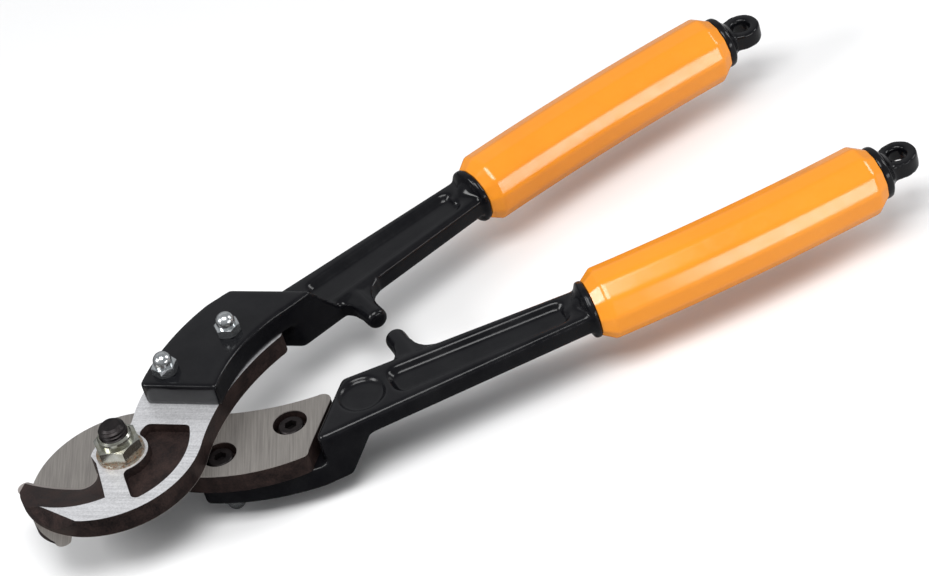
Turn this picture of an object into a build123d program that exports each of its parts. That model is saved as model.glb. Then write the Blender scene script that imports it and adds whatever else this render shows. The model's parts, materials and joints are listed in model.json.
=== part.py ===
from build123d import *
import math
import os

os.makedirs("parts", exist_ok=True)

# Bolt cutters with two hooked blades. The tool lies flat: X runs from the jaws to the grips, and Z
# is the pivot bolt's axis. The two halves are the same, and one is the other turned over about the
# tool's long axis. Outlines are (x, y) in a half's own plane, in mm from the pivot, with z counted
# outward from the flat faces where the blades slide on each other.

# Blade
BLADE_T = 9.5
HOOK_CENTRE = (-4.0, 5.0)
HOOK_R = 41.5
HUB_SHANK = (4.6, 12.7)
HUB_TOP = (-4.7, 12.65)
HUB_EDGE = (-11.8, 6.55)
THROAT = (-21.0, 3.0)
EDGE_TIP = (-37.6, 23.6)
EDGE_LAND = 0.3
HONE_H = 1.4
RIM_W = 5.8
POCKET_D = 4.0
POCKET_TAPER = 8
POCKET_CORNER_R = 3.0
POCKET_HUB_R = 11.7

# Handle
PLATE_T = 11.0
ARM_HALF_T = 5.0
ARM_EDGE_R = 2.6
PLATE_EDGE_R = 1.2
PLATE_CORNER_R = 2.5
SHOULDER_OUTER = (66.9, 48.1)
SHOULDER_INNER = (95.1, 19.9)
SHOULDER_CORNER_R = 3.0
ARM_END_INNER = (199.5, 41.7)
ARM_END_OUTER = (196.5, 63.6)
ARM_POCKET_D = 3.3
ARM_POCKET_R = 6.0
ARM_POCKET_SLOPE_W = 2.4
DIMPLE_CENTRE = (97.4, 35.5)
DIMPLE_R = 10.5
DIMPLE_FLOOR_R = 9.3
DIMPLE_D = 2.0
STUB_X = 126.8
STUB_TIP_Y = 6.9
STUB_LENGTH = 24.0
STUB_R = 4.8
STUB_TIP_R = 2.2
STUB_WEB_HALF_T = 3.6
STUB_WEB_EDGE = ((4.6, 10.0), (6.4, 16.2), (12.0, 20.4))

# Grip, on a tang that is bowed a little outward
GRIP_START = (200.0, 52.9)
GRIP_MIDDLE = (268.0, 61.4)
GRIP_END = (335.5, 65.4)
GRIP_R = 16.3
GRIP_SIDES = 12
GRIP_TURN = 21
GRIP_CHAMFER_LENGTH = 5.3
GRIP_CHAMFER_DEPTH = 3.6
TANG_R = 8.0
COLLAR_R = 12.9
COLLAR_T = 3.0
FLARE_LENGTH = 12.0
FLARE_R = 4.4
FLARE_BEND = (-5.6, 7.4)

# Rear collar with the hanging eye
EYE = (348.7, 64.8)
EYE_HOLE_R = 4.25
EYE_LUG_R = 8.8
EYE_LUG_T = 8.0
EYE_EDGE = 0.8
EYE_ROOT = (343.0, 65.4)
EYE_ROOT_R = 6.8
END_COLLAR_R = 12.2
END_COLLAR_T = 3.5
END_NECK_R = 6.6
END_NECK_LENGTH = 8.0
END_NECK_BEND = (4.6, 10.0)
SPIGOT_R = 5.0
SPIGOT_LENGTH = 22.0

# Blade screws, M6, with domed nuts
SCREW_PLACES = {"front": (34.6, 20.3), "rear": (66.9, 24.0)}
SCREW_R = 3.0
SCREW_HOLE_R = 3.2
SCREW_HEAD_R = 5.5
SCREW_HEAD_H = 5.0
SCREW_HEAD_SUNK = 1.3
SCREW_BORE_R = 7.5
SCREW_HEAD_EDGE = 0.5
SCREW_TIP_EDGE = 0.8
SOCKET_AF = 5.0
SOCKET_D = 2.8
CAP_NUT_AF = 10.0
CAP_NUT_HEX_H = 4.2
CAP_NUT_DOME_R = 4.1
CAP_NUT_H = 10.0
CAP_NUT_THREAD_D = 6.5
CAP_NUT_TURN = {"front": 49, "rear": 23}

# Pivot, M12
BOLT_R = 6.0
PIVOT_CLEARANCE = 0.05
BOLT_END = 25.8
BOLT_HEAD_H = 7.5
BOLT_CHAMFER = 1.0
NUT_AF = 18.0
NUT_HEX_H = 6.0
NUT_H = 9.5
NUT_COLLAR_R = 7.4
NUT_COLLAR_EDGE = (0.7, 1.0)
NUT_TURN = 21
RING_R = 6.8
RING_H = 2.4
NUT_LIP_H = 0.4
NUT_LIP_R = 6.4
WASHER_R = 10.4
WASHER_HOLE_R = 6.5
WASHER_T = 2.0
HEX_CHAMFER = 0.8

# The origin is under the middle of the whole tool, at the height of the surface that it lies on.
FRONT_REACH = HOOK_R - HOOK_CENTRE[0]
REAR_REACH = EYE[0] + EYE_LUG_R
PIVOT_X = (FRONT_REACH - REAR_REACH) / 2
PIVOT_Z = BLADE_T + PLATE_T + CAP_NUT_H
PIVOT = (PIVOT_X, 0, PIVOT_Z)
UPPER = Plane(origin=PIVOT, x_dir=(1, 0, 0), z_dir=(0, 0, 1))
LOWER = Plane(origin=PIVOT, x_dir=(1, 0, 0), z_dir=(0, 0, -1))
SIDES = {"upper": UPPER, "lower": LOWER}

PLATE_TOP = BLADE_T + PLATE_T
WASHER_TOP = BLADE_T + WASHER_T
NUT_TOP = WASHER_TOP + NUT_H

# The diagonal cuts across a half, as the value of x + y on each.
POCKET_FRONT = 25.2
PLATE_FRONT = 42.0
BLADE_END = 110.5
PLATE_REAR = 128.0
PLATE_REAR_FOOT = 140.5

# The mouth's curve at the cutting edge, above the honed strip and at the rim: where it leaves the
# hub, the throat, the turn, the edge's middle, the tip and a point far beyond the nose.
MOUTH_FAR_Y = 45.0
EDGE_NECK = (-16.4, 2.2)
EDGE_MIDDLE = (-30.1, 12.6)
MOUTH_EDGE = (HUB_EDGE, EDGE_NECK, THROAT, EDGE_MIDDLE, EDGE_TIP, (-52, 12))
MOUTH_HONED = ((-11.7, 5.0), (-16.6, 0.4), (-22.0, 1.5), (-31.5, 11.4), (-39.2, 22.6), (-53.5, 9.5))
MOUTH_RIM = ((-11.2, 1.8), (-14.0, -9.5), (-17.0, -20.8), (-29.6, -16.2), (-41.0, -6.0), (-54, -10))

# The slanted flat ground on the nose: its direction outward, how far out it starts near the flat
# face and how far out it ends at the rim.
NOSE_DIRECTION = (-0.918, -0.397)
NOSE_FOOT = 43.2
NOSE_FOOT_Z = 2.0
NOSE_TOP = 40.0
NOSE_WIDTH = 60.0


def finish(part, name):
    """Label a finished piece and write it."""
    part.label = name
    export_step(part, f"parts/{name}.step")


def diagonal(x, line):
    """The point at x on the diagonal where x + y is line."""
    return (x, line - x)


def crossing(start, end, line):
    """The point of the straight edge from start to end where x + y is line."""
    share = (line - sum(start)) / (sum(end) - sum(start))
    return (start[0] + share * (end[0] - start[0]), start[1] + share * (end[1] - start[1]))


def blade_outline():
    """Hub, cutting edge, hook, shank and the hub again, counter-clockwise from the hub."""
    nose_end = (-43.06, 19.0)
    hook_end = (30.1, -18.7)
    inner_end = (84.0, 17.3)
    corner = diagonal(87.2, BLADE_END)
    outer_corner = diagonal(65.5, BLADE_END)
    outer_end = (61.5, 47.3)
    shank_front = (12.5, 15.8)
    with BuildLine() as outline:
        ThreePointArc(HUB_SHANK, HUB_TOP, HUB_EDGE)
        ThreePointArc(HUB_EDGE, EDGE_NECK, THROAT)
        ThreePointArc(THROAT, EDGE_MIDDLE, EDGE_TIP)
        ThreePointArc(EDGE_TIP, (-41.2, 24.0), nose_end)
        ThreePointArc(nose_end, (HOOK_CENTRE[0], HOOK_CENTRE[1] - HOOK_R), hook_end)
        ThreePointArc(hook_end, (54.3, 3.5), inner_end)
        ThreePointArc(inner_end, (87.2, 19.3), corner)
        Line(corner, outer_corner)
        ThreePointArc(outer_corner, (63.9, 46.9), outer_end)
        ThreePointArc(outer_end, (33.9, 36.3), shank_front)
        ThreePointArc(shank_front, (9.3, 13.1), HUB_SHANK)
    return outline.edges()


def mouth_outline(start, throat, turn, middle, tip, beyond):
    """What the bevel takes away at one height: the edge's curve, then far out past the nose."""
    with BuildLine() as outline:
        ThreePointArc(start, throat, turn)
        ThreePointArc(turn, middle, tip)
        Polyline(tip, beyond, (beyond[0], MOUTH_FAR_Y), (start[0], MOUTH_FAR_Y), start)
    return outline.edges()


def nose_limits(reach):
    """A square beyond a straight line across the nose, at a reach from the pivot."""
    ahead = Plane(origin=(0, 0, 0), x_dir=(*NOSE_DIRECTION, 0), z_dir=(0, 0, 1))
    corners = ((reach, -1), (reach, 1), (reach + NOSE_WIDTH, 1), (reach + NOSE_WIDTH, -1))
    with BuildLine() as outline:
        Polyline(*[ahead.from_local_coords((x, y * NOSE_WIDTH, 0)) for x, y in corners], close=True)
    return outline.edges()


def pocket_limits():
    """The spoke on one side of the blade's recess and the diagonal edge on the other."""
    with BuildLine() as outline:
        Polyline(
            (-9.4, -34.0), (-5.2, -14.0), (0, 0), diagonal(16.4, POCKET_FRONT),
            diagonal(45.0, POCKET_FRONT), (45.0, -45.0), (-9.6, -45.0), close=True,
        )
    return outline.edges()


def make_blade(side, name):
    with BuildPart() as blade:
        with BuildSketch(side):
            make_face(blade_outline())
        extrude(amount=BLADE_T)
        # The honed strip and the long bevel above it, up to the rim's inner edge
        with BuildSketch(side.offset(EDGE_LAND)):
            make_face(mouth_outline(*MOUTH_EDGE))
        with BuildSketch(side.offset(HONE_H)):
            make_face(mouth_outline(*MOUTH_HONED))
        with BuildSketch(side.offset(BLADE_T)):
            make_face(mouth_outline(*MOUTH_RIM))
        loft(ruled=True, mode=Mode.SUBTRACT)
        with BuildSketch(side.offset(NOSE_FOOT_Z)):
            make_face(nose_limits(NOSE_FOOT))
        with BuildSketch(side.offset(BLADE_T)):
            make_face(nose_limits(NOSE_TOP))
        loft(ruled=True, mode=Mode.SUBTRACT)
        with BuildSketch(side.offset(BLADE_T)) as recess:
            with Locations(HOOK_CENTRE):
                Circle(HOOK_R - RIM_W)
            Circle(POCKET_HUB_R, mode=Mode.SUBTRACT)
            make_face(pocket_limits(), mode=Mode.INTERSECT)
            fillet(recess.vertices(), POCKET_CORNER_R)
        extrude(amount=-POCKET_D, taper=POCKET_TAPER, mode=Mode.SUBTRACT)
        with Locations(side):
            Hole(BOLT_R + PIVOT_CLEARANCE)
        for place in SCREW_PLACES.values():
            with BuildSketch(side):
                with Locations(place):
                    Circle(SCREW_BORE_R)
            extrude(amount=SCREW_HEAD_SUNK + SCREW_HEAD_H, mode=Mode.SUBTRACT)
            with BuildSketch(side):
                with Locations(place):
                    Circle(SCREW_HOLE_R)
            extrude(amount=BLADE_T, mode=Mode.SUBTRACT)
    finish(blade.part, name)


def upright(side, place):
    """The plane through a place in which x runs along the tool and y runs outward."""
    return Plane(origin=side.from_local_coords((*place, 0)), x_dir=side.x_dir, z_dir=-side.y_dir)


def outward(side, place):
    """The axis through a place, square to the blades."""
    return Axis(side.from_local_coords((*place, 0)), side.z_dir)


def tang_curve(side):
    """The tang's bowed centre line."""
    with BuildLine(side) as curve:
        ThreePointArc(GRIP_START, GRIP_MIDDLE, GRIP_END)
    return curve.edge()


def block_inner(rear):
    return crossing(SHOULDER_INNER, ARM_END_INNER, rear)


def block_outer(rear):
    return crossing(SHOULDER_OUTER, ARM_END_OUTER, rear)


def plate_limits():
    """The head plate: curved beside the blade's shank, cut on the diagonals at front and rear."""
    front_outer = diagonal(21.2, PLATE_FRONT)
    front_inner = diagonal(46.6, PLATE_FRONT)
    with BuildLine() as outline:
        Line(front_outer, front_inner)
        ThreePointArc(front_inner, (71.5, 13.7), SHOULDER_INNER)
        Polyline(SHOULDER_INNER, block_inner(PLATE_REAR), block_outer(PLATE_REAR), SHOULDER_OUTER)
        ThreePointArc(SHOULDER_OUTER, (46.5, 39.9), front_outer)
    return outline.edges()


def block_limits(rear):
    """The shoulder's full-depth block at one height, from the blade's end to the sloping rear."""
    with BuildLine() as outline:
        Polyline(SHOULDER_OUTER, SHOULDER_INNER, block_inner(rear), block_outer(rear), close=True)
    return outline.edges()


def arm_limits():
    """The arm, from the shoulder to the collar in front of the grip."""
    with BuildLine() as outline:
        Polyline(SHOULDER_OUTER, SHOULDER_INNER, ARM_END_INNER, ARM_END_OUTER, close=True)
    return outline.edges()


def arm_pocket_limits():
    """The long recess in each face of the arm, an even flange inside the arm's edges."""
    with BuildLine() as outline:
        Polyline((109.0, 46.7), (189.6, 59.0), (192.0, 44.0), (110.5, 28.9), close=True)
    return outline.edges()


def make_handle(side, name):
    curve = tang_curve(side)
    front = Plane(origin=curve @ 0, x_dir=curve % 0, z_dir=side.z_dir)
    with BuildPart() as handle:
        with BuildSketch(side.offset(-ARM_HALF_T)) as arm:
            make_face(arm_limits())
            fillet(arm.vertices().sort_by(Axis.X)[:2], SHOULDER_CORNER_R)
        extrude(amount=2 * ARM_HALF_T)
        for height, rear in ((ARM_HALF_T, PLATE_REAR_FOOT), (PLATE_TOP, PLATE_REAR)):
            with BuildSketch(side.offset(height)) as block:
                make_face(block_limits(rear))
                fillet(block.vertices().sort_by(Axis.X)[:1], SHOULDER_CORNER_R)
                fillet(block.vertices().sort_by(Axis.Y)[:1], SHOULDER_CORNER_R)
        loft(ruled=True)
        with BuildSketch(side.offset(BLADE_T)) as plate:
            make_face(plate_limits())
            fillet(plate.vertices().sort_by(Axis.X)[:1], PLATE_CORNER_R)
        extrude(amount=PLATE_T)
        outward_axis = Axis(side.origin, side.z_dir)
        fillet(handle.edges().group_by(outward_axis)[-1], PLATE_EDGE_R)
        fillet(handle.edges().group_by(outward_axis)[0], ARM_EDGE_R)
        arm_top = PIVOT_Z + side.z_dir.Z * ARM_HALF_T
        fillet(handle.edges().filter_by_position(Axis.Z, arm_top, arm_top), ARM_EDGE_R)
        # A long recess in both faces, and a shallow round one behind the shoulder
        for face in (-1, 1):
            with BuildSketch(side.offset(face * ARM_HALF_T)) as mouth:
                make_face(arm_pocket_limits())
                fillet(mouth.vertices(), ARM_POCKET_R)
            with BuildSketch(side.offset(face * (ARM_HALF_T - ARM_POCKET_D))) as floor:
                make_face(arm_pocket_limits())
                fillet(floor.vertices(), ARM_POCKET_R)
                offset(amount=-ARM_POCKET_SLOPE_W)
            loft(ruled=True, mode=Mode.SUBTRACT)
        with BuildSketch(side.offset(-ARM_HALF_T)):
            with Locations(DIMPLE_CENTRE):
                Circle(DIMPLE_R)
        with BuildSketch(side.offset(DIMPLE_D - ARM_HALF_T)):
            with Locations(DIMPLE_CENTRE):
                Circle(DIMPLE_FLOOR_R)
        loft(ruled=True, mode=Mode.SUBTRACT)
        # The stop stub, whose end is square to the other handle's where they meet
        stub_tip = side.from_local_coords((STUB_X, STUB_TIP_Y, 0))
        stub = Plane(origin=stub_tip, x_dir=stub_tip - side.origin, z_dir=side.z_dir)
        with BuildSketch(stub):
            with BuildLine():
                Polyline((STUB_R, STUB_TIP_R), (STUB_R, STUB_LENGTH), (0, STUB_LENGTH), (0, 0))
                Line((0, 0), (STUB_R - STUB_TIP_R, 0))
                RadiusArc((STUB_R - STUB_TIP_R, 0), (STUB_R, STUB_TIP_R), -STUB_TIP_R)
            make_face()
        revolve(axis=Axis(stub_tip, stub.y_dir))
        # The web that spreads the stub's foot along the arm
        web_end = STUB_WEB_EDGE[-1][0]
        with BuildSketch(stub.offset(-STUB_WEB_HALF_T)):
            with BuildLine():
                ThreePointArc(*STUB_WEB_EDGE)
                Polyline(STUB_WEB_EDGE[-1], (web_end, STUB_LENGTH), (0, STUB_LENGTH))
                Line((0, STUB_WEB_EDGE[0][1]), STUB_WEB_EDGE[0])
                mirror(about=Plane.YZ)
            make_face()
        extrude(amount=2 * STUB_WEB_HALF_T)
        for place in SCREW_PLACES.values():
            with BuildSketch(side.offset(BLADE_T)):
                with Locations(place):
                    Circle(SCREW_HOLE_R)
            extrude(amount=PLATE_T, mode=Mode.SUBTRACT)
        # The collar in front of the grip, flaring out of the arm's end
        with BuildSketch(front):
            with BuildLine():
                Polyline((0, 0), (0, COLLAR_R), (-COLLAR_T, COLLAR_R))
                ThreePointArc((-COLLAR_T, COLLAR_R), FLARE_BEND, (-FLARE_LENGTH, FLARE_R))
                Polyline((-FLARE_LENGTH, FLARE_R), (-FLARE_LENGTH, 0), (0, 0))
            make_face()
        revolve(axis=Axis(front.origin, front.x_dir))
        with BuildSketch(Plane(origin=curve @ 0, z_dir=curve % 0)):
            Circle(TANG_R)
        sweep(path=curve)
        with BuildSketch(Plane(origin=curve @ 1, z_dir=curve % 1)):
            Circle(SPIGOT_R)
        extrude(amount=-SPIGOT_LENGTH, mode=Mode.SUBTRACT)
    finish(handle.part, name)


def make_grip(side, name):
    curve = tang_curve(side)
    with BuildPart() as grip:
        with BuildSketch(Plane(origin=curve @ 0, x_dir=side.z_dir, z_dir=curve % 0)):
            RegularPolygon(GRIP_R, GRIP_SIDES, rotation=GRIP_TURN)
            Circle(TANG_R, mode=Mode.SUBTRACT)
        sweep(path=curve)
        for end in (grip.faces().sort_by(Axis.X)[0], grip.faces().sort_by(Axis.X)[-1]):
            chamfer(end.outer_wire().edges(), GRIP_CHAMFER_DEPTH, GRIP_CHAMFER_LENGTH, reference=end)
    finish(grip.part, name)


def make_end_eye(side, name):
    curve = tang_curve(side)
    rear = Plane(origin=curve @ 1, x_dir=curve % 1, z_dir=side.z_dir)
    with BuildPart() as end_eye:
        with BuildSketch(rear):
            with BuildLine():
                Polyline((-SPIGOT_LENGTH, 0), (-SPIGOT_LENGTH, SPIGOT_R), (0, SPIGOT_R), (0, END_COLLAR_R))
                Line((0, END_COLLAR_R), (END_COLLAR_T, END_COLLAR_R))
                ThreePointArc((END_COLLAR_T, END_COLLAR_R), END_NECK_BEND, (END_NECK_LENGTH, END_NECK_R))
                Polyline((END_NECK_LENGTH, END_NECK_R), (END_NECK_LENGTH, 0), (-SPIGOT_LENGTH, 0))
            make_face()
        revolve(axis=Axis(rear.origin, rear.x_dir))
        with BuildSketch(side.offset(-EYE_LUG_T / 2)):
            with Locations(EYE):
                Circle(EYE_LUG_R)
            with Locations(EYE_ROOT):
                Circle(EYE_ROOT_R)
            make_hull()
        extrude(amount=EYE_LUG_T)
        with BuildSketch(side.offset(-EYE_LUG_T / 2)):
            with Locations(EYE):
                Circle(EYE_HOLE_R)
        extrude(amount=EYE_LUG_T, mode=Mode.SUBTRACT)
        circles = end_eye.edges().filter_by(GeomType.CIRCLE)
        chamfer(circles.filter_by(lambda rim: rim.radius == EYE_HOLE_R), EYE_EDGE)
    finish(end_eye.part, name)


def make_blade_screw(side, place, name):
    head_top = SCREW_HEAD_SUNK
    head_foot = SCREW_HEAD_SUNK + SCREW_HEAD_H
    tip = PLATE_TOP + CAP_NUT_THREAD_D
    with BuildPart() as screw:
        with BuildSketch(upright(side, place)):
            with BuildLine():
                Polyline(
                    (0, head_top), (SCREW_HEAD_R - SCREW_HEAD_EDGE, head_top),
                    (SCREW_HEAD_R, head_top + SCREW_HEAD_EDGE), (SCREW_HEAD_R, head_foot),
                    (SCREW_R, head_foot), (SCREW_R, tip - SCREW_TIP_EDGE),
                    (SCREW_R - SCREW_TIP_EDGE, tip), (0, tip), close=True,
                )
            make_face()
        revolve(axis=outward(side, place))
        with BuildSketch(side.offset(head_top)):
            with Locations(place):
                RegularPolygon(SOCKET_AF / 2, 6, major_radius=False)
        extrude(amount=SOCKET_D, mode=Mode.SUBTRACT)
    finish(screw.part, name)


def make_cap_nut(side, place, turn, name):
    corner_r = CAP_NUT_AF / math.sqrt(3)
    hex_top = PLATE_TOP + CAP_NUT_HEX_H
    dome_centre = PLATE_TOP + CAP_NUT_H - CAP_NUT_DOME_R
    with BuildPart() as nut:
        with BuildSketch(side.offset(PLATE_TOP)):
            with Locations(place):
                RegularPolygon(CAP_NUT_AF / 2, 6, major_radius=False, rotation=turn)
        extrude(amount=CAP_NUT_HEX_H)
        # The hexagon's corners are turned off at both ends.
        with BuildSketch(upright(side, place)):
            with BuildLine():
                Polyline(
                    (0, PLATE_TOP), (corner_r - HEX_CHAMFER, PLATE_TOP),
                    (corner_r, PLATE_TOP + HEX_CHAMFER / 2), (corner_r, hex_top - HEX_CHAMFER / 2),
                    (corner_r - HEX_CHAMFER, hex_top), (0, hex_top), close=True,
                )
            make_face()
        revolve(axis=outward(side, place), mode=Mode.INTERSECT)
        with BuildSketch(upright(side, place)):
            with BuildLine():
                Polyline(
                    (0, dome_centre + CAP_NUT_DOME_R), (0, hex_top), (CAP_NUT_DOME_R, hex_top),
                    (CAP_NUT_DOME_R, dome_centre),
                )
                RadiusArc((CAP_NUT_DOME_R, dome_centre), (0, dome_centre + CAP_NUT_DOME_R), -CAP_NUT_DOME_R)
            make_face()
        revolve(axis=outward(side, place))
        with BuildSketch(side.offset(PLATE_TOP)):
            with Locations(place):
                Circle(SCREW_R)
        extrude(amount=CAP_NUT_THREAD_D, mode=Mode.SUBTRACT)
    finish(nut.part, name)


def make_pivot_bolt(name):
    head_top = BLADE_T + WASHER_T
    head_end = head_top + BOLT_HEAD_H
    corner_r = NUT_AF / math.sqrt(3)
    with BuildPart() as bolt:
        with BuildSketch(LOWER.offset(head_top)):
            RegularPolygon(NUT_AF / 2, 6, major_radius=False)
        extrude(amount=BOLT_HEAD_H)
        with BuildSketch(upright(LOWER, (0, 0))):
            with BuildLine():
                Polyline(
                    (0, head_top), (corner_r, head_top), (corner_r, head_end - HEX_CHAMFER),
                    (corner_r - 2 * HEX_CHAMFER, head_end), (0, head_end), close=True,
                )
            make_face()
        revolve(axis=outward(LOWER, (0, 0)), mode=Mode.INTERSECT)
        with BuildSketch(upright(UPPER, (0, 0))):
            with BuildLine():
                Polyline(
                    (0, -head_top), (BOLT_R, -head_top), (BOLT_R, BOLT_END - BOLT_CHAMFER),
                    (BOLT_R - BOLT_CHAMFER, BOLT_END), (0, BOLT_END), close=True,
                )
            make_face()
        revolve(axis=outward(UPPER, (0, 0)))
    finish(bolt.part, name)


def make_pivot_nut(name):
    corner_r = NUT_AF / math.sqrt(3)
    hex_top = WASHER_TOP + NUT_HEX_H
    ring_top = NUT_TOP - NUT_LIP_H
    with BuildPart() as nut:
        with BuildSketch(UPPER.offset(WASHER_TOP)):
            RegularPolygon(NUT_AF / 2, 6, major_radius=False, rotation=NUT_TURN)
        extrude(amount=NUT_HEX_H)
        with BuildSketch(upright(UPPER, (0, 0))):
            with BuildLine():
                Polyline(
                    (0, WASHER_TOP), (corner_r - HEX_CHAMFER, WASHER_TOP),
                    (corner_r, WASHER_TOP + HEX_CHAMFER / 2), (corner_r, hex_top - HEX_CHAMFER),
                    (corner_r - 2 * HEX_CHAMFER, hex_top), (0, hex_top), close=True,
                )
            make_face()
        revolve(axis=outward(UPPER, (0, 0)), mode=Mode.INTERSECT)
        # The round collar, rolled in over the lock ring
        with BuildSketch(upright(UPPER, (0, 0))):
            with BuildLine():
                Polyline(
                    (0, hex_top), (NUT_COLLAR_R, hex_top), (NUT_COLLAR_R, NUT_TOP - NUT_COLLAR_EDGE[1]),
                    (NUT_COLLAR_R - NUT_COLLAR_EDGE[0], NUT_TOP), (0, NUT_TOP), close=True,
                )
            make_face()
        revolve(axis=outward(UPPER, (0, 0)))
        with BuildSketch(upright(UPPER, (0, 0))):
            with BuildLine():
                Polyline(
                    (0, WASHER_TOP), (BOLT_R, WASHER_TOP), (BOLT_R, ring_top - RING_H),
                    (RING_R, ring_top - RING_H), (RING_R, ring_top), (NUT_LIP_R, ring_top),
                    (NUT_LIP_R, NUT_TOP), (0, NUT_TOP), close=True,
                )
            make_face()
        revolve(axis=outward(UPPER, (0, 0)), mode=Mode.SUBTRACT)
    finish(nut.part, name)


def make_ring(side, foot, height, inner_r, outer_r, name):
    """A plain flat ring about the pivot, such as a washer."""
    with BuildPart() as ring:
        with BuildSketch(side.offset(foot)):
            Circle(outer_r)
            Circle(inner_r, mode=Mode.SUBTRACT)
        extrude(amount=height)
    finish(ring.part, name)


if __name__ == "__main__":
    for half, side in SIDES.items():
        make_blade(side, f"{half}_blade")
        make_handle(side, f"{half}_handle")
        make_grip(side, f"{half}_grip")
        make_end_eye(side, f"{half}_end_eye")
        for position, place in SCREW_PLACES.items():
            make_blade_screw(side, place, f"{half}_{position}_screw")
            make_cap_nut(side, place, CAP_NUT_TURN[position], f"{half}_{position}_cap_nut")
    make_pivot_bolt("pivot_bolt")
    make_pivot_nut("pivot_nut")
    make_ring(UPPER, NUT_TOP - NUT_LIP_H - RING_H, RING_H, BOLT_R, RING_R, "nut_lock_ring")
    make_ring(UPPER, BLADE_T, WASHER_T, WASHER_HOLE_R, WASHER_R, "nut_washer")
    make_ring(LOWER, BLADE_T, WASHER_T, WASHER_HOLE_R, WASHER_R, "head_washer")
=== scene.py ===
import json
import math

import bpy
import numpy as np
from mathutils import Matrix, Vector


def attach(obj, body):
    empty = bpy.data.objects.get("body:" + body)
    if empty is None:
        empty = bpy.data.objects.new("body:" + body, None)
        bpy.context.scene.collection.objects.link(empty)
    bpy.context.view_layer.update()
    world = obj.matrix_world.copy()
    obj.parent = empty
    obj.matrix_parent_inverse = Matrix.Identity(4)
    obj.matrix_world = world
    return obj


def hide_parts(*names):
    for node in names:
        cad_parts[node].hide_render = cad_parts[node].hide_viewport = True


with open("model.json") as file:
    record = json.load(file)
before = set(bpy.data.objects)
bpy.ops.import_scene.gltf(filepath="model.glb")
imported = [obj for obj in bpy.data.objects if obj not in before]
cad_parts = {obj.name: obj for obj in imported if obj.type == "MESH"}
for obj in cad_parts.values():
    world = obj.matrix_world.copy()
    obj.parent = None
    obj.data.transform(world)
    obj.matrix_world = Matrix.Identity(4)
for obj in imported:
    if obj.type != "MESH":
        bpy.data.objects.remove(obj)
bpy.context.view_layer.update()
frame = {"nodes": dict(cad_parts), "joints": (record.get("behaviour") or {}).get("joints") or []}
nodes = frame["nodes"]

# ---- Blades -------------------------------------------------------------------------------------
# Two hooked blades of drop-forged tool steel. The forging scale is left dark brown on the sides,
# in the pocket and on the long bevel. The two flat faces are ground, and the cutting edge is honed.
# They turn on the pivot and slide on each other at its height. The lower half is turned over.
MM = 0.001
PIVOT = Vector(frame["joints"][0]["pos_m"])
SIDES = {"upper": 1, "lower": -1}
BLADE_T = 9.5 * MM
HONE_H = 1.45 * MM
GROUND_SKIN = 0.12 * MM
# The band along each blade's inner face edge is partly the ground steel of its chamfer and partly a
# painted edge highlight, wider on the lower blade, where the bright line shows.
EDGE_STEEL_AND_HIGHLIGHT_SKIN = {"lower": 0.45 * MM, "upper": 0.15 * MM}
OUTER_LINES = math.radians(44.3)
INNER_LINES = math.radians(63.0)
LEVEL_ENOUGH = 0.9
HONE_LEVEL = 0.3
SCALE_DARK, SCALE_BROWN = (0.007, 0.005, 0.0055), (0.050, 0.029, 0.025)
BRIGHT_LOW, BRIGHT_HIGH = (0.42, 0.42, 0.43), (0.88, 0.88, 0.90)
WARM_LOW, WARM_HIGH = (0.18, 0.165, 0.155), (0.33, 0.31, 0.285)
HONED_LOW, HONED_HIGH = (0.30, 0.26, 0.245), (0.46, 0.42, 0.40)
EDGE_STEEL_AND_HIGHLIGHT = (0.34, 0.31, 0.29)
GROUND_ROUGHNESS = 0.40


def node(tree, kind, **settings):
    """A shader node with some of its settings or inputs filled in."""
    made = tree.nodes.new(kind)
    for name, value in settings.items():
        if hasattr(made, name):
            setattr(made, name, value)
        else:
            made.inputs[name.replace("_", " ")].default_value = value
    return made


def math_node(tree, operation, first, second=0.0, third=None):
    """A Math node; numbers become values and sockets become links."""
    made = node(tree, "ShaderNodeMath", operation=operation)
    for place, value in enumerate((first, second, third)):
        if value is None:
            continue
        if isinstance(value, (int, float)):
            made.inputs[place].default_value = value
        else:
            tree.links.new(value, made.inputs[place])
    return made.outputs[0]


def mixed(tree, share, low, high):
    """A colour between two colours, by a share from 0 to 1."""
    made = node(tree, "ShaderNodeMix", data_type="RGBA")
    for place, value in ((0, share), (6, low), (7, high)):
        if isinstance(value, (tuple, list)):
            made.inputs[place].default_value = (*value, 1)
        elif isinstance(value, (int, float)):
            made.inputs[place].default_value = value
        else:
            tree.links.new(value, made.inputs[place])
    return made.outputs[2]


def graded(tree, value, low, high, to_low=0.0, to_high=1.0):
    """A value moved from one range to another and held at the ends."""
    made = node(tree, "ShaderNodeMapRange", From_Min=low, From_Max=high, To_Min=to_low,
                To_Max=to_high)
    tree.links.new(value, made.inputs["Value"])
    return made.outputs[0]


def new_group(name, inputs, outputs):
    """An empty shader group with its named sockets, and its two end nodes."""
    group = bpy.data.node_groups.new(name, "ShaderNodeTree")
    for label, kind, start in inputs:
        socket = group.interface.new_socket(label, in_out="INPUT", socket_type=kind)
        if start is not None:
            socket.default_value = start
    for label, kind in outputs:
        group.interface.new_socket(label, in_out="OUTPUT", socket_type=kind)
    return group, group.nodes.new("NodeGroupInput"), group.nodes.new("NodeGroupOutput")


def new_material(name, **sockets):
    """A material with one Principled shader, and its tree, its shader and Object coordinates."""
    material = bpy.data.materials.new(name)
    material.use_nodes = True
    tree = material.node_tree
    shader = tree.nodes["Principled BSDF"]
    for label, value in sockets.items():
        shader.inputs[label.replace("_", " ")].default_value = value
    place = tree.nodes.new("ShaderNodeTexCoord").outputs["Object"]
    return material, tree, shader, place


def grouped(tree, group, **values):
    """A group placed in a material, with numbers set and sockets linked."""
    made = tree.nodes.new("ShaderNodeGroup")
    made.node_tree = group
    for label, value in values.items():
        socket = made.inputs[label.replace("_", " ")]
        if hasattr(value, "is_linked"):
            tree.links.new(value, socket)
        else:
            socket.default_value = value
    return made


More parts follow.
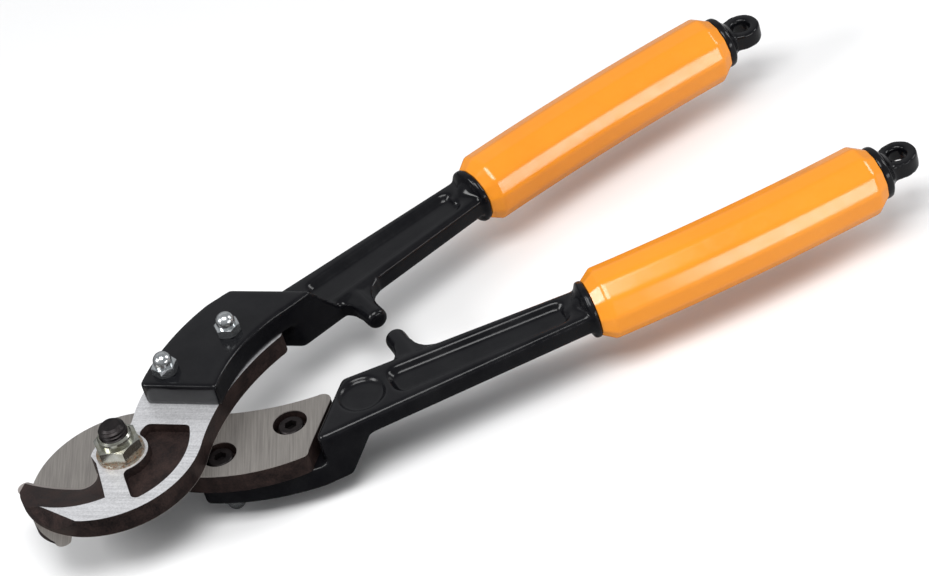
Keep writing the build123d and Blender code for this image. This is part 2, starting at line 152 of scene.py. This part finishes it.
def bump(tree, shader, height, strength, distance):
    """Height into the shader's normal."""
    made = node(tree, "ShaderNodeBump", Strength=strength, Distance=distance)
    tree.links.new(height, made.inputs["Height"])
    tree.links.new(made.outputs[0], shader.inputs["Normal"])


# Patches that differ a little, as in scale, paint or plating: a coarse noise and a fine one.
patches, ends_in, ends_out = new_group(
    "patches",
    [("Position", "NodeSocketVector", None), ("Size", "NodeSocketFloat", 0.01),
     ("Fine", "NodeSocketFloat", 0.3)],
    [("Mask", "NodeSocketFloat"), ("Grain", "NodeSocketFloat")],
)
coarse_scale = math_node(patches, "DIVIDE", 1.0, ends_in.outputs["Size"])
coarse = node(patches, "ShaderNodeTexNoise", Detail=4.0, Roughness=0.6)
patches.links.new(ends_in.outputs["Position"], coarse.inputs["Vector"])
patches.links.new(coarse_scale, coarse.inputs["Scale"])
fine = node(patches, "ShaderNodeTexNoise", Detail=3.0, Roughness=0.7)
patches.links.new(ends_in.outputs["Position"], fine.inputs["Vector"])
patches.links.new(math_node(patches, "MULTIPLY", coarse_scale, 9.0), fine.inputs["Scale"])
both = math_node(patches, "MULTIPLY_ADD", fine.outputs[0], ends_in.outputs["Fine"],
                 math_node(patches, "MULTIPLY", coarse.outputs[0],
                           math_node(patches, "SUBTRACT", 1.0, ends_in.outputs["Fine"])))
patches.links.new(graded(patches, both, 0.35, 0.65), ends_out.inputs["Mask"])
patches.links.new(fine.outputs[0], ends_out.inputs["Grain"])

# Fine parallel scratches from a surface grinder: noise drawn out along one direction in XY.
grinding, ends_in, ends_out = new_group(
    "grinding lines",
    [("Position", "NodeSocketVector", None), ("Turn", "NodeSocketVector", (0, 0, 0)),
     ("Spacing", "NodeSocketFloat", 0.0006)],
    [("Lines", "NodeSocketFloat")],
)
turned = grinding.nodes.new("ShaderNodeMapping")
grinding.links.new(ends_in.outputs["Position"], turned.inputs["Vector"])
grinding.links.new(ends_in.outputs["Turn"], turned.inputs["Rotation"])
drawn_out = node(grinding, "ShaderNodeVectorMath", operation="MULTIPLY")
drawn_out.inputs[1].default_value = (0.03, 1.0, 1.0)
grinding.links.new(turned.outputs[0], drawn_out.inputs[0])
line_scale = math_node(grinding, "DIVIDE", 1.0, ends_in.outputs["Spacing"])
lines = node(grinding, "ShaderNodeTexNoise", Detail=5.0, Roughness=0.65)
grinding.links.new(drawn_out.outputs[0], lines.inputs["Vector"])
grinding.links.new(line_scale, lines.inputs["Scale"])
grinding.links.new(lines.outputs[0], ends_out.inputs["Lines"])


def dress(obj, material):
    """One material on a whole piece."""
    obj.data.materials.clear()
    obj.data.materials.append(material)


def blade_material(half, sign):
    """Forging scale all over, with the honed edge, the inner flat and then the outer flat laid
    on it, each found by its height over the pivot plane and by how level its face is."""
    material, tree, shader, place = new_material(f"{half} blade steel", Metallic=0.6)
    apart = node(tree, "ShaderNodeSeparateXYZ")
    tree.links.new(place, apart.inputs[0])
    height = math_node(tree, "MULTIPLY_ADD", apart.outputs[2], sign, -sign * PIVOT.z)
    facing = node(tree, "ShaderNodeNewGeometry")
    apart_normal = node(tree, "ShaderNodeSeparateXYZ")
    tree.links.new(facing.outputs["Normal"], apart_normal.inputs[0])
    level = math_node(tree, "ABSOLUTE", apart_normal.outputs[2])
    outer = math_node(tree, "MULTIPLY",
                      math_node(tree, "GREATER_THAN", height, BLADE_T - GROUND_SKIN),
                      math_node(tree, "GREATER_THAN", level, LEVEL_ENOUGH))
    # Painted edge highlight, partly real ground steel: a lighter band just over the inner face.
    chamfer_and_highlight_band = math_node(tree, "LESS_THAN", height, EDGE_STEEL_AND_HIGHLIGHT_SKIN[half])
    honed = math_node(tree, "MULTIPLY", math_node(tree, "LESS_THAN", height, HONE_H),
                      math_node(tree, "GREATER_THAN", level, HONE_LEVEL))
    inner_flat = math_node(tree, "MULTIPLY", math_node(tree, "LESS_THAN", height, GROUND_SKIN),
                           math_node(tree, "GREATER_THAN", level, LEVEL_ENOUGH))
    scale_skin = grouped(tree, patches, Position=place, Size=0.007, Fine=0.5)
    dark = mixed(tree, scale_skin.outputs["Mask"], SCALE_DARK, SCALE_BROWN)
    outer_lines = grouped(tree, grinding, Position=place, Turn=(0, 0, sign * OUTER_LINES),
                          Spacing=0.0009)
    inner_lines = grouped(tree, grinding, Position=place, Turn=(0, 0, sign * INNER_LINES),
                          Spacing=0.0008)
    speckle = math_node(tree, "MULTIPLY_ADD", scale_skin.outputs["Grain"], 0.5,
                        math_node(tree, "MULTIPLY", outer_lines.outputs[0], 0.5))
    bright = mixed(tree, graded(tree, speckle, 0.3, 0.7), BRIGHT_LOW, BRIGHT_HIGH)
    warm = mixed(tree, graded(tree, inner_lines.outputs[0], 0.25, 0.75), WARM_LOW, WARM_HIGH)
    edge_steel = mixed(tree, scale_skin.outputs["Grain"], HONED_LOW, HONED_HIGH)
    colour = mixed(tree, chamfer_and_highlight_band, dark, EDGE_STEEL_AND_HIGHLIGHT)
    colour = mixed(tree, honed, colour, edge_steel)
    colour = mixed(tree, inner_flat, colour, warm)
    colour = mixed(tree, outer, colour, bright)
    tree.links.new(colour, shader.inputs["Base Color"])
    ground = math_node(tree, "MAXIMUM", outer, inner_flat)
    ground = math_node(tree, "MAXIMUM", ground, honed)
    rough_dark = graded(tree, scale_skin.outputs["Mask"], 0, 1, 0.42, 0.62)
    rough = node(tree, "ShaderNodeMix")
    tree.links.new(ground, rough.inputs[0])
    tree.links.new(rough_dark, rough.inputs[2])
    rough.inputs[3].default_value = GROUND_ROUGHNESS
    tree.links.new(rough.outputs[0], shader.inputs["Roughness"])
    line_height = math_node(tree, "MULTIPLY_ADD", outer_lines.outputs[0], outer,
                            math_node(tree, "MULTIPLY", inner_lines.outputs[0], inner_flat))
    skin_height = math_node(tree, "MULTIPLY", scale_skin.outputs["Grain"],
                            math_node(tree, "SUBTRACT", 1.0, ground))
    total = math_node(tree, "MULTIPLY_ADD", line_height, 0.25, skin_height)
    bump(tree, shader, total, 0.5, 0.0004)
    return material


for half, sign in SIDES.items():
    dress(nodes[f"{half}_blade"], blade_material(half, sign))

# ---- Handles and end eyes -----------------------------------------------------------------------
# Each handle is a steel forging with a head plate, a flat arm with long recesses, a stop stub and
# a collar. It and the end eye are dipped in thick black gloss paint that softens every edge.
VOXEL = 0.65 * MM
SMOOTH_STEPS = 18
SMOOTH_SHARE = 0.5
WELD = 0.002 * MM
paint, tree, shader, place = new_material("black gloss paint", Specular_IOR_Level=0.24)
skin = grouped(tree, patches, Position=place, Size=0.016, Fine=0.25)
tree.links.new(mixed(tree, skin.outputs["Mask"], (0.002, 0.002, 0.003), (0.006, 0.006, 0.007)),
               shader.inputs["Base Color"])
tree.links.new(graded(tree, skin.outputs["Mask"], 0, 1, 0.14, 0.24), shader.inputs["Roughness"])
bump(tree, shader, skin.outputs["Grain"], 0.06, 0.0003)


def softened(source, name):
    """A copy of a CAD solid with every edge melted round: one closed skin, smoothed a few times."""
    piece = bpy.data.objects.new(name, source.data.copy())
    bpy.context.scene.collection.objects.link(piece)
    weld = piece.modifiers.new("weld", "WELD")
    weld.merge_threshold = WELD
    remesh = piece.modifiers.new("remesh", "REMESH")
    remesh.mode = "VOXEL"
    remesh.voxel_size = VOXEL
    smooth = piece.modifiers.new("smooth", "SMOOTH")
    smooth.factor = SMOOTH_SHARE
    smooth.iterations = SMOOTH_STEPS
    graph = bpy.context.evaluated_depsgraph_get()
    mesh = bpy.data.meshes.new_from_object(piece.evaluated_get(graph))
    piece.modifiers.clear()
    piece.data = mesh
    mesh.shade_smooth()
    return piece


for half in SIDES:
    for part in ("handle", "end_eye"):
        source = nodes[f"{half}_{part}"]
        piece = softened(source, f"{half}_{part}_painted")
        dress(piece, paint)
        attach(piece, f"{half}_half")
        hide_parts(source.name)

# ---- Grips --------------------------------------------------------------------------------------
# Moulded plastic sleeves with a dozen flat sides, each a little bowed along its length, and both
# ends turned down to a cone. They are pushed on the round tangs behind the handles' collars.
GRIP_START = np.array((200.0, 52.9)) * MM
GRIP_MIDDLE = np.array((268.0, 61.4)) * MM
GRIP_END = np.array((335.5, 65.4)) * MM
GRIP_SIDES = 12
GRIP_FLAT = 16.3 * MM * math.cos(math.pi / GRIP_SIDES)
GRIP_CORNER = 16.12 * MM
GRIP_CORNER_SOFT = 0.25 * MM
GRIP_TURN = math.radians(9)
GRIP_CONE_LENGTH = 5.3 * MM
GRIP_CONE_DEPTH = 3.6 * MM
GRIP_CONE_SOFT = 0.12
GRIP_BORE = 8.0 * MM
GRIP_ROUNDS = 180
GRIP_ROWS = 90
GRIP_BORE_ROWS = 24
GRIP_CREASE = 35


def circle_through(first, second, third):
    """Centre and radius of the circle through three points: the centre is as far from each."""
    lines = 2 * np.array((second - first, third - first))
    sums = np.array((second @ second - first @ first, third @ third - first @ first))
    centre = np.linalg.solve(lines, sums)
    return centre, np.linalg.norm(first - centre)


def soft_least(first, second, width):
    """The lesser of two values, with the change from one to the other rounded over a width."""
    share = np.clip(0.5 + 0.5 * (second - first) / width, 0, 1)
    return second * (1 - share) + first * share - width * share * (1 - share)


def grid_mesh(name, points, ring):
    """A mesh from rows of points, each row a closed turn. The rows close into a ring, or else the
    first and last are capped. The faces are wound so that the volume they enclose is positive."""
    rows, around = points.shape[:2]
    index = np.arange(rows * around).reshape(rows, around)
    if ring:
        index = np.concatenate((index, index[:1]))
    after = np.roll(index, -1, axis=1)
    faces = np.stack((index[:-1], after[:-1], after[1:], index[1:]), axis=-1).reshape(-1, 4)
    corners = (points.reshape(-1, 3) - points.reshape(-1, 3).mean(axis=0))[faces]
    volume = np.einsum("ij,ij->i", corners[:, 0], np.cross(corners[:, 1], corners[:, 2])).sum()
    volume += np.einsum("ij,ij->i", corners[:, 0], np.cross(corners[:, 2], corners[:, 3])).sum()
    order = 1 if volume > 0 else -1
    faces = faces[:, ::order].tolist()
    if not ring:
        faces += [index[0][::-order].tolist(), index[-1][::order].tolist()]
    mesh = bpy.data.meshes.new(name)
    mesh.from_pydata(points.reshape(-1, 3).tolist(), [], faces)
    mesh.validate()
    return mesh


def grip_mesh(half, sign):
    """A twelve-sided section carried along an arc. Its radius is the flat's distance over the
    cosine of the angle from the flat's middle, held under the corner radius, and less a cone's
    depth near both ends. The rows then go back along the bore, so the sleeve is closed."""
    centre, radius = circle_through(GRIP_START, GRIP_MIDDLE, GRIP_END)
    first = math.atan2(*(GRIP_START - centre)[::-1])
    last = math.atan2(*(GRIP_END - centre)[::-1])
    length = abs(last - first) * radius
    along = length * (0.5 - 0.5 * np.cos(np.linspace(0, math.pi, GRIP_ROWS)))
    turn = np.linspace(0, 2 * math.pi, GRIP_ROUNDS, endpoint=False)
    from_flat = np.mod(turn - GRIP_TURN, 2 * math.pi / GRIP_SIDES) - math.pi / GRIP_SIDES
    section = soft_least(GRIP_FLAT / np.cos(from_flat), np.full_like(turn, GRIP_CORNER),
                         GRIP_CORNER_SOFT)
    to_end = np.minimum(along, length - along)
    cone = GRIP_CONE_DEPTH * soft_least(to_end / GRIP_CONE_LENGTH, np.ones_like(to_end),
                                        GRIP_CONE_SOFT)
    size = section[None, :] - GRIP_CONE_DEPTH + cone[:, None]
    size = np.concatenate((size, np.full((GRIP_BORE_ROWS, GRIP_ROUNDS), GRIP_BORE)))
    along = np.concatenate((along, np.linspace(length, 0, GRIP_BORE_ROWS)))
    angle = first + (last - first) * along / length
    place = centre + radius * np.stack((np.cos(angle), np.sin(angle)), axis=-1)
    outward = (place - centre) / radius
    points = np.empty((*size.shape, 3))
    points[..., 0] = place[:, None, 0] + outward[:, None, 0] * size * np.sin(turn)
    points[..., 1] = sign * (place[:, None, 1] + outward[:, None, 1] * size * np.sin(turn))
    points[..., 2] = sign * size * np.cos(turn)
    points += np.array(PIVOT)
    return grid_mesh(f"{half}_grip_moulded", points, ring=True)


def shaded_smooth(mesh, angle):
    """Smooth shading with edges sharper than an angle, in degrees, kept crisp."""
    mesh.shade_smooth()
    mesh.set_sharp_from_angle(angle=math.radians(angle))


orange, tree, shader, place = new_material("orange grip plastic", Specular_IOR_Level=0.6)
skin = grouped(tree, patches, Position=place, Size=0.05, Fine=0.12)
tree.links.new(mixed(tree, skin.outputs["Mask"], (0.72, 0.235, 0.011), (0.76, 0.262, 0.014)),
               shader.inputs["Base Color"])
tree.links.new(graded(tree, skin.outputs["Grain"], 0.3, 0.7, 0.16, 0.24),
               shader.inputs["Roughness"])
bump(tree, shader, skin.outputs["Grain"], 0.03, 0.0003)
for half, sign in SIDES.items():
    piece = bpy.data.objects.new(f"{half}_grip_moulded", grip_mesh(half, sign))
    bpy.context.scene.collection.objects.link(piece)
    shaded_smooth(piece.data, GRIP_CREASE)
    dress(piece, orange)
    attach(piece, f"{half}_half")
    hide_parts(f"{half}_grip")

# ---- Blade screws and domed nuts ----------------------------------------------------------------
# Socket-head screws in black oxide, sunk in the blades' flat faces, with domed nuts of polished
# bright zinc on the head plates.
oxide, tree, shader, place = new_material("black oxide steel", Roughness=0.4, Metallic=0.7)
skin = grouped(tree, patches, Position=place, Size=0.004, Fine=0.4)
tree.links.new(mixed(tree, skin.outputs["Mask"], (0.006, 0.005, 0.0055), (0.024, 0.019, 0.019)),
               shader.inputs["Base Color"])
bump(tree, shader, skin.outputs["Grain"], 0.15, 0.0002)
zinc, tree, shader, place = new_material("bright zinc plate", Metallic=0.95)
skin = grouped(tree, patches, Position=place, Size=0.005, Fine=0.4)
tree.links.new(mixed(tree, skin.outputs["Mask"], (0.46, 0.48, 0.49), (0.68, 0.70, 0.71)),
               shader.inputs["Base Color"])
tree.links.new(graded(tree, skin.outputs["Mask"], 0, 1, 0.14, 0.28), shader.inputs["Roughness"])
for half in SIDES:
    for position in ("front", "rear"):
        dress(nodes[f"{half}_{position}_screw"], oxide)
        dress(nodes[f"{half}_{position}_cap_nut"], zinc)

# ---- Pivot --------------------------------------------------------------------------------------
# A bolt through both blades with a thin lock nut on a washer. The plating has a yellow cast and
# has begun to rust in the corner between them. The nut's locking ring is dark brown nylon.
BOLT_R = 5.95 * MM
BOLT_ROOT_R = 5.0 * MM
BOLT_PITCH = 1.75 * MM
BOLT_TIP = 25.8 * MM
BOLT_TIP_CONE = 1.9 * MM
THREAD_START = 14.0 * MM
HEAD_TOP = -11.5 * MM
HEAD_END = -19.0 * MM
HEAD_FLAT = 9.0 * MM
HEAD_CONE = 1.6 * MM
HEAD_CONE_SLOPE = 2.0
TIP_CONE_SLOPE = 1.1
HEAD_FACE = 0.6
TIP_FACE = 0.5
CREST_SLOPE = 1.35
CREST_SHIFT = 0.17
BOLT_ROUNDS = 144
BOLT_ROWS = 170
HEAD_ROWS = 12
SHANK_ROWS = 8
BOLT_CREASE = 32
WASHER_LEVEL = PIVOT.z + 11.8 * MM
RUST_FADE = 1.5 * MM
RUST_REACH = 0.2 * MM


def bolt_points():
    """A radius that depends on height and turn. The head's is a hexagon's under a cone, the
    shank's is plain, and the thread's goes between root and crest as a triangle wave that climbs
    one pitch in each turn, under the tip's cone. A smaller ring at each end holds the flat cap."""
    turn = np.linspace(0, 2 * math.pi, BOLT_ROUNDS, endpoint=False)
    from_flat = np.mod(turn, math.pi / 3) - math.pi / 6
    hexagon = HEAD_FLAT / np.cos(from_flat)
    corner = HEAD_FLAT / math.cos(math.pi / 6)
    head_z = np.linspace(HEAD_END, HEAD_TOP, HEAD_ROWS)[:, None]
    head = np.minimum(hexagon, corner - HEAD_CONE + (head_z - HEAD_END) * HEAD_CONE_SLOPE)
    shank_z = np.linspace(HEAD_TOP, THREAD_START, SHANK_ROWS)[:, None]
    shank = np.full((SHANK_ROWS, BOLT_ROUNDS), BOLT_R)
    thread_z = np.linspace(THREAD_START, BOLT_TIP, BOLT_ROWS)[:, None]
    climb = np.mod(thread_z / BOLT_PITCH - turn / (2 * math.pi), 1.0)
    wave = np.clip(np.abs(2 * climb - 1) * CREST_SLOPE - CREST_SHIFT, 0, 1)
    thread = BOLT_ROOT_R + (BOLT_R - BOLT_ROOT_R) * wave
    tip_cone = BOLT_R - BOLT_TIP_CONE + (BOLT_TIP - thread_z) * TIP_CONE_SLOPE
    thread = np.minimum(thread, tip_cone)
    size = np.concatenate((head[:1] * HEAD_FACE, head, shank, thread, thread[-1:] * TIP_FACE))
    height = np.concatenate((head_z[:1], head_z, shank_z, thread_z, thread_z[-1:]))
    points = np.empty((*size.shape, 3))
    points[..., 0] = size * np.cos(turn)
    points[..., 1] = size * np.sin(turn)
    points[..., 2] = height
    return points + np.array(PIVOT)


yellow, tree, shader, place = new_material("yellow zinc plate")
skin = grouped(tree, patches, Position=place, Size=0.007, Fine=0.35)
plated = mixed(tree, skin.outputs["Mask"], (0.30, 0.29, 0.22), (0.52, 0.53, 0.50))
apart = node(tree, "ShaderNodeSeparateXYZ")
tree.links.new(place, apart.inputs[0])
below = graded(tree, apart.outputs[2], WASHER_LEVEL, WASHER_LEVEL + RUST_FADE, 1.0, 0.0)
BLADE_TOP = PIVOT.z + BLADE_T
above = graded(tree, apart.outputs[2], BLADE_TOP - RUST_REACH, BLADE_TOP)
rust_cover = math_node(tree, "MULTIPLY", math_node(tree, "MULTIPLY", below, above),
                       graded(tree, skin.outputs["Grain"], 0.42, 0.58))
rust = mixed(tree, skin.outputs["Grain"], (0.05, 0.018, 0.006), (0.22, 0.10, 0.035))
tree.links.new(mixed(tree, rust_cover, plated, rust), shader.inputs["Base Color"])
tree.links.new(graded(tree, rust_cover, 0, 1, 0.22, 0.7), shader.inputs["Roughness"])
tree.links.new(graded(tree, rust_cover, 0, 1, 0.95, 0.1), shader.inputs["Metallic"])
bump(tree, shader, skin.outputs["Grain"], 0.1, 0.0002)
nylon, tree, shader, place = new_material("brown nylon", Roughness=0.4)
skin = grouped(tree, patches, Position=place, Size=0.004, Fine=0.5)
tree.links.new(mixed(tree, skin.outputs["Mask"], (0.012, 0.008, 0.007), (0.035, 0.02, 0.015)),
               shader.inputs["Base Color"])
bolt_mesh = grid_mesh("pivot_bolt_threaded", bolt_points(), ring=False)
bolt = bpy.data.objects.new("pivot_bolt_threaded", bolt_mesh)
bpy.context.scene.collection.objects.link(bolt)
shaded_smooth(bolt_mesh, BOLT_CREASE)
dress(bolt, oxide)
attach(bolt, "lower_half")
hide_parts("pivot_bolt")
dress(nodes["pivot_nut"], yellow)
dress(nodes["nut_washer"], yellow)
dress(nodes["head_washer"], yellow)
dress(nodes["nut_lock_ring"], nylon)

# ---- Table, light and camera --------------------------------------------------------------------
# A plain white paper floor under soft lights, one large above and weaker ones around, in an even
# pale surround. In gloss rays the paper is given a painted shade, grey and darker to the left, in
# place of the shade black cards would give. The camera looks down on the tool from in front.
FLOOR_HALF = 6.0
PAPER = (0.80, 0.80, 0.80)
# Painted shade: the paper's colour in gloss rays, dark to pale across X.
GLOSS_PAINTED_SHADE_DARK, GLOSS_PAINTED_SHADE_PALE = (0.08, 0.08, 0.08), (0.45, 0.45, 0.45)
PAINTED_SHADE_FROM, PAINTED_SHADE_TO = -0.05, 0.15
SURROUND = (0.95, 0.97, 1.0, 1)
SURROUND_STRENGTH = 0.34
SENSOR_WIDTH = 36.0
FOCAL_LENGTH = 144.49
NEAREST, FARTHEST = 0.05, 50.0
CAMERA_PLACE = PIVOT + Vector((-0.2106, -1.2043, 0.9974))
CAMERA_RIGHT = Vector((0.85432183, -0.46286267, -0.23641564))
CAMERA_UP = Vector((0.46417538, 0.47483821, 0.74770976))
floor_mesh = bpy.data.meshes.new("floor")
floor_corners = [(FLOOR_HALF * x, FLOOR_HALF * y, 0) for x, y in ((-1, -1), (1, -1), (1, 1), (-1, 1))]
floor_mesh.from_pydata(floor_corners, [], [(0, 1, 2, 3)])
floor = bpy.data.objects.new("floor", floor_mesh)
bpy.context.scene.collection.objects.link(floor)
floor_paper, tree, shader, place = new_material("white paper", Roughness=0.9,
                                                Specular_IOR_Level=0.1)
rays = tree.nodes.new("ShaderNodeLightPath")
apart = node(tree, "ShaderNodeSeparateXYZ")
tree.links.new(place, apart.inputs[0])
# Painted shade: reflections of the paper are grey and darker to the left, though the paper is white.
painted_shade_in_gloss = mixed(tree, graded(tree, apart.outputs[0], PAINTED_SHADE_FROM, PAINTED_SHADE_TO), GLOSS_PAINTED_SHADE_DARK,
                      GLOSS_PAINTED_SHADE_PALE)
tree.links.new(mixed(tree, rays.outputs["Is Glossy Ray"], PAPER, painted_shade_in_gloss),
               shader.inputs["Base Color"])
dress(floor, floor_paper)


def soft_light(name, place, target, width, height, power):
    """A rectangular soft light that faces a point."""
    lamp = bpy.data.lights.new(name, "AREA")
    lamp.shape = "RECTANGLE"
    lamp.size = width
    lamp.size_y = height
    lamp.energy = power
    light = bpy.data.objects.new(name, lamp)
    bpy.context.scene.collection.objects.link(light)
    light.location = place
    light.rotation_euler = (Vector(target) - Vector(place)).to_track_quat("-Z", "Y").to_euler()


soft_light("overhead", (-0.25, -0.45, 1.3), (0, 0, 0), 0.9, 0.6, 16.0)
soft_light("left", (-1.2, 0.1, 0.8), (0, 0, 0), 0.5, 0.5, 10.0)
soft_light("front", (0.60, -1.30, 0.22), (0.2, 0, 0.03), 0.85, 0.22, 5.0)
soft_light("right", (1.2, -0.3, 0.75), (0, 0, 0), 0.4, 0.6, 6.0)
soft_light("back", (0.3, 1.5, 1.2), (0.1, 0, 0), 2.4, 1.2, 1.8)
world = bpy.data.worlds.new("studio")
world.use_nodes = True
sky = world.node_tree.nodes["Background"]
sky.inputs["Color"].default_value = SURROUND
sky.inputs["Strength"].default_value = SURROUND_STRENGTH
bpy.context.scene.world = world
bpy.context.scene.view_settings.view_transform = "Standard"

lens = bpy.data.cameras.new("camera")
lens.sensor_width = SENSOR_WIDTH
lens.lens = FOCAL_LENGTH
lens.clip_start = NEAREST
lens.clip_end = FARTHEST
camera = bpy.data.objects.new("camera", lens)
bpy.context.scene.collection.objects.link(camera)
aim = Matrix((CAMERA_RIGHT, CAMERA_UP, CAMERA_RIGHT.cross(CAMERA_UP))).transposed()
camera.matrix_world = Matrix.Translation(CAMERA_PLACE) @ aim.to_4x4()
bpy.context.scene.camera = camera
